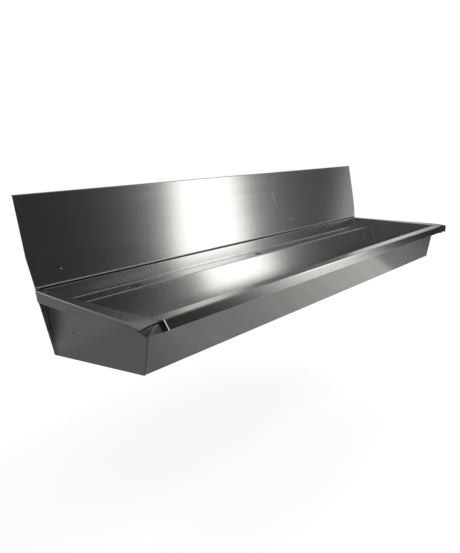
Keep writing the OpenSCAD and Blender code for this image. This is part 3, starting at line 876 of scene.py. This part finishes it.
class TROUGH_OT_supports(bpy.types.Operator):
    """Finish the gussets, fixing plates, stiffener and earth tag"""

    bl_idname = "trough.supports"
    bl_label = "Supports"

    def execute(self, context):
        steel = context.scene.trough_steel
        dress(mill_steel("mill-finish stainless supports", steel), "rim_stiffener",
              "fixing_plate_left", "fixing_plate_right", "earth_tag",
              *("ledge_gusset_%d" % i for i in range(1, 5)))
        return {"FINISHED"}


class TROUGH_OT_waste(bpy.types.Operator):
    """Finish the strainer, screw, seals and waste body"""

    bl_idname = "trough.waste"
    bl_label = "Waste"

    def execute(self, context):
        dress(polished_steel(), "waste_strainer", "waste_screw")
        dress(moulded_rubber(), "waste_seal_top", "waste_seal_bottom")
        dress(moulded_polypropylene(), "waste_body")
        return {"FINISHED"}


class TROUGH_OT_underside(bpy.types.Operator):
    """Finish the sound pads and the earth bolt with its washers and nut"""

    bl_idname = "trough.underside"
    bl_label = "Underside"

    def execute(self, context):
        dress(rolled_bitumen(), "sound_pad_left", "sound_pad_right")
        dress(turned_brass(), "earth_bolt", "earth_washers", "earth_nut")
        return {"FINISHED"}


# Studio: greys of its cards as stops of distance and grey. The distance is along X, on the right
# wall along Y. They give the trough something to mirror: a floor sheet that ends to the right, dark
# walls, and pale openings between them.

FRONT_GREYS = (
    (-5.0, 0.15), (-0.8, 0.15), (-0.2, 0.035), (0.47, 0.035), (0.70, 0.038), (0.93, 0.045),
    (1.17, 0.065), (1.40, 0.12), (1.58, 0.25), (3.0, 0.25), (3.24, 0.22), (3.47, 0.17), (3.70, 0.12),
    (3.93, 0.095), (4.17, 0.075), (4.4, 0.055), (4.88, 0.05), (5.12, 0.055), (6.0, 0.06))
FLOOR_GREYS = (
    (-5.0, 0.12), (-2.5, 0.15), (-0.33, 0.17), (-0.1, 0.27), (0.2, 0.29), (0.6, 0.4), (1.0, 0.5),
    (1.4, 0.6), (1.76, 0.63), (1.79, 0.21), (2.1, 0.17), (2.4, 0.13), (2.75, 0.05), (6.0, 0.03))
SHADE_GREYS = (
    (-5.0, 0.1), (-0.6, 0.1), (-0.1, 0.02), (0.5, 0.03), (0.72, 0.09), (0.92, 0.28), (1.11, 0.62),
    (1.5, 1.0), (1.9, 1.05), (2.08, 0.9), (2.27, 0.65), (2.46, 0.35), (2.66, 0.12), (2.85, 0.03),
    (3.04, 0.01), (6.0, 0.01))
CEILING_GREYS = ((-5.0, 0.2), (1.0, 0.25), (2.2, 0.4), (3.6, 0.5), (5.1, 0.8), (6.0, 0.5))
REAR_CEILING_GREYS = ((-5.0, 0.25), (1.5, 0.25), (3.5, 0.1), (4.8, 0.3), (5.6, 0.7), (6.0, 0.8))
RIGHT_GREYS = ((-2.6, 0.4), (1.2, 0.3), (1.45, 0.5), (1.8, 0.8), (2.6, 0.9))
BACK_GREYS = ((-5.0, 0.16), (0.0, 0.2), (1.0, 0.75), (6.0, 0.85))

# Cards of the room: name, centre, two half sides, axis of the greys, greys, and how strong the faint
# bands across that axis are. The two cards on the floor have their height from it.
ALONG = (5.5, 0, 0)
WALL = (0, 0, 1.4)
CARDS = (
    ("floor_sheet", (0.5, 1.0, None), ALONG, (0, 2.0, 0), 0, FLOOR_GREYS, 0.07),
    ("floor_shade", (0.5, -2.25, None), ALONG, (0, 1.25, 0), 0, SHADE_GREYS, 0.0),
    ("front_wall", (0.5, -2.6, 0.5), ALONG, WALL, 0, FRONT_GREYS, 0.0),
    ("pale_screen", (2.76, -1.0, 0.3), (0.2, 0, 0), (0.3, 0, 0.5), 0, ((0, 0.65),), 0.0),
    ("back_glow", (-1.9, 2.55, 1.25), (0.9, 0, 0), (0, 0, 0.6), 0, ((0, 0.8),), 0.0),
    ("ceiling_front", (0.5, -1.3, 1.9), ALONG, (0, 1.3, 0), 0, CEILING_GREYS, 0.0),
    ("ceiling_back", (0.5, 1.3, 1.9), ALONG, (0, 1.3, 0), 0, REAR_CEILING_GREYS, 0.0),
    ("left_wall", (-5.0, 0.0, 0.5), (0, 2.6, 0), WALL, 0, ((0, 0.16),), 0.0),
    ("back_wall", (0.5, 2.6, 0.5), ALONG, WALL, 0, BACK_GREYS, 0.0),
    ("right_wall", (6.0, 0.0, 0.5), (0, 2.6, 0), WALL, 1, RIGHT_GREYS, 0.0),
)

FLOOR_REACH = 30.0
FLOOR_LIFT = 0.3
LAMP_PLACE = (0.9, -2.2, 1.6)
LAMP_SIDE = 1.6
LAMP_WATTS = 25


def grey_ramp(tree, axis, stops, bands):
    """Greys along one axis of the studio: stops joined by straight ramps, with faint bands across
    that axis. One stop is one grey all over."""
    where = add(tree, "ShaderNodeTexCoord").outputs["Object"]
    place = add(tree, "ShaderNodeSeparateXYZ", {0: where}).outputs[axis]
    low, high = stops[0][0] - 1, stops[-1][0] + 1
    share = add(tree, "ShaderNodeMapRange", {"Value": place, "From Min": low, "From Max": high})
    ramp = add(tree, "ShaderNodeValToRGB", {0: share.outputs[0]})
    marks = ramp.color_ramp.elements
    while len(marks) < len(stops):
        marks.new(0.5)
    while len(marks) > len(stops):
        marks.remove(marks[-1])
    for mark, (spot, grey) in zip(marks, stops):
        mark.position = (spot - low) / (high - low)
        mark.color = (grey, grey, grey * 0.99, 1)
    if not bands:
        return ramp.outputs[0]
    stripes = add(tree, "ShaderNodeTexNoise", {"W": place, "Scale": 9.0, "Detail": 2.0},
                  noise_dimensions="1D")
    level = add(tree, "ShaderNodeMapRange", {
        "Value": stripes.outputs["Fac"], "From Min": 0.3, "From Max": 0.7, "To Min": 1 - bands,
        "To Max": 1 + bands})
    return add(tree, "ShaderNodeVectorMath", {0: ramp.outputs[0], "Scale": level.outputs[0]},
               operation="SCALE").outputs[0]


def card(name, centre, across, up, axis, stops, bands=0.0, level=1.0, lean=0.0):
    """A flat card of the studio that only reflections see: a rectangle on two half sides, whose
    first upper corner may be moved in along the first side."""
    centre, across, up = (np.array(v, float) for v in (centre, across, up))
    points = np.stack([centre - across - up, centre + across - up, centre - across + up,
                       centre + across + up])
    points[2] += lean * across / np.linalg.norm(across)
    mesh = grid_mesh(name, points.reshape(2, 2, 3))
    material, tree = new_material(name)
    light = add(tree, "ShaderNodeEmission", {
        "Color": grey_ramp(tree, axis, stops, bands), "Strength": level})
    close_material(tree, light.outputs[0])
    mesh.materials.append(material)
    piece = bpy.data.objects.new(name, mesh)
    bpy.context.scene.collection.objects.link(piece)
    piece.visible_camera = False
    piece.visible_diffuse = False
    piece.visible_shadow = False
    piece.visible_transmission = False


class TROUGH_OT_stage(bpy.types.Operator):
    """Set up the camera, the world, the floor, the lamp, the softbox and the cards"""

    bl_idname = "trough.stage"
    bl_label = "Stage"

    def execute(self, context):
        studio = context.scene.trough_studio
        place_camera(studio)
        paint_world()
        lay_floor(studio)
        hang_lamp()
        hang_cards(studio)
        context.scene.view_settings.view_transform = "Standard"
        return {"FINISHED"}


def place_camera(studio):
    """Camera at the photograph's place, with its roll."""
    way = Vector(studio.camera_way).normalized()
    up = Vector(studio.camera_up)
    up = (up - way * up.dot(way)).normalized()
    turn = Matrix((way.cross(up), up, -way)).transposed()
    data = bpy.data.cameras.new("camera")
    data.sensor_width = 36
    data.lens = studio.lens / MM
    camera = bpy.data.objects.new("camera", data)
    camera.matrix_world = Matrix.Translation(studio.camera_place) @ turn.to_4x4()
    bpy.context.scene.collection.objects.link(camera)
    bpy.context.scene.camera = camera


def paint_world():
    """White background for what the camera, the metal and clear parts see, an even pale light for
    the rest."""
    world = bpy.data.worlds.new("studio")
    world.use_nodes = True
    tree = world.node_tree
    tree.nodes.clear()
    path = add(tree, "ShaderNodeLightPath")
    seen = add(tree, "ShaderNodeMath", {
        0: path.outputs["Is Camera Ray"], 1: path.outputs["Is Glossy Ray"]}, operation="MAXIMUM")
    seen = add(tree, "ShaderNodeMath", {
        0: seen.outputs[0], 1: path.outputs["Is Transmission Ray"]}, operation="MAXIMUM")
    level = add(tree, "ShaderNodeMapRange", {"Value": seen.outputs[0], "To Min": 0.8, "To Max": 1.0})
    light = add(tree, "ShaderNodeBackground", {"Color": (1, 1, 1), "Strength": level.outputs[0]})
    add(tree, "ShaderNodeOutputWorld", {"Surface": light.outputs[0]})
    bpy.context.scene.world = world


def lay_floor(studio):
    """Pale matt floor, lifted a little to the camera's eye, which keeps the trough's soft shadow."""
    corners = FLOOR_REACH * np.array([[-1, -1], [1, -1], [-1, 1], [1, 1]])
    points = np.column_stack([corners, np.full(4, -studio.floor_drop)])
    mesh = grid_mesh("floor", points.reshape(2, 2, 3))
    material, tree = new_material("white painted floor")
    path = add(tree, "ShaderNodeLightPath")
    paint = add(tree, "ShaderNodeBsdfDiffuse", {"Color": linear("#F2F2F2")})
    lift = add(tree, "ShaderNodeEmission", {"Color": (1, 1, 1), "Strength": FLOOR_LIFT})
    none = add(tree, "ShaderNodeEmission", {"Color": (0, 0, 0), "Strength": 0.0})
    shown = add(tree, "ShaderNodeMixShader", {
        0: path.outputs["Is Camera Ray"], 1: none.outputs[0], 2: lift.outputs[0]})
    both = add(tree, "ShaderNodeAddShader", {0: paint.outputs[0], 1: shown.outputs[0]})
    close_material(tree, both.outputs[0])
    mesh.materials.append(material)
    floor = bpy.data.objects.new("floor", mesh)
    bpy.context.scene.collection.objects.link(floor)


def hang_lamp():
    """One soft lamp for the matt parts; the softbox card stands for it in reflections."""
    data = bpy.data.lights.new("soft_lamp", "AREA")
    data.shape = "RECTANGLE"
    data.size = data.size_y = LAMP_SIDE
    data.energy = LAMP_WATTS
    lamp = bpy.data.objects.new("soft_lamp", data)
    place = Vector(LAMP_PLACE)
    turn = (-place).to_track_quat("-Z", "Y").to_matrix().to_4x4()
    lamp.matrix_world = Matrix.Translation(place) @ turn
    lamp.visible_camera = False
    lamp.visible_glossy = False
    bpy.context.scene.collection.objects.link(lamp)


def hang_cards(studio):
    """The studio as the metal sees it: a softbox at the right front, and the cards of the room."""
    width, height = studio.box_size
    card("softbox", studio.box_place, (width / 2, 0, 0), (0, 0, height / 2), 0, ((0, 1.0),),
         level=studio.box_level, lean=studio.box_lean)
    for name, (x, y, z), across, up, axis, greys, bands in CARDS:
        height = 5 * MM - studio.floor_drop if z is None else z
        card(name, (x, y, height), across, up, axis, greys, bands)


STEPS = (TROUGH_OT_back_sheet, TROUGH_OT_pan, TROUGH_OT_end_panels, TROUGH_OT_welds,
         TROUGH_OT_supports, TROUGH_OT_waste, TROUGH_OT_underside, TROUGH_OT_stage)


class TROUGH_PT_panel(bpy.types.Panel):
    """Steps that dress the trough, in order"""

    bl_idname = "TROUGH_PT_panel"
    bl_label = "Hand Wash Trough"
    bl_space_type = "VIEW_3D"
    bl_region_type = "UI"
    bl_category = "Trough"

    def draw(self, context):
        for step in STEPS:
            self.layout.operator(step.bl_idname)


CLASSES = (TroughSteel, TroughStudio, *STEPS, TROUGH_PT_panel)


def register():
    for cls in CLASSES:
        bpy.utils.register_class(cls)
    bpy.types.Scene.trough_steel = bpy.props.PointerProperty(type=TroughSteel)
    bpy.types.Scene.trough_studio = bpy.props.PointerProperty(type=TroughStudio)


def unregister():
    del bpy.types.Scene.trough_studio
    del bpy.types.Scene.trough_steel
    for cls in reversed(CLASSES):
        bpy.utils.unregister_class(cls)


def main():
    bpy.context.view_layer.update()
    register()
    for step in STEPS:
        group, name = step.bl_idname.split(".")
        getattr(getattr(bpy.ops, group), name)()


if __name__ == "__main__":
    main()
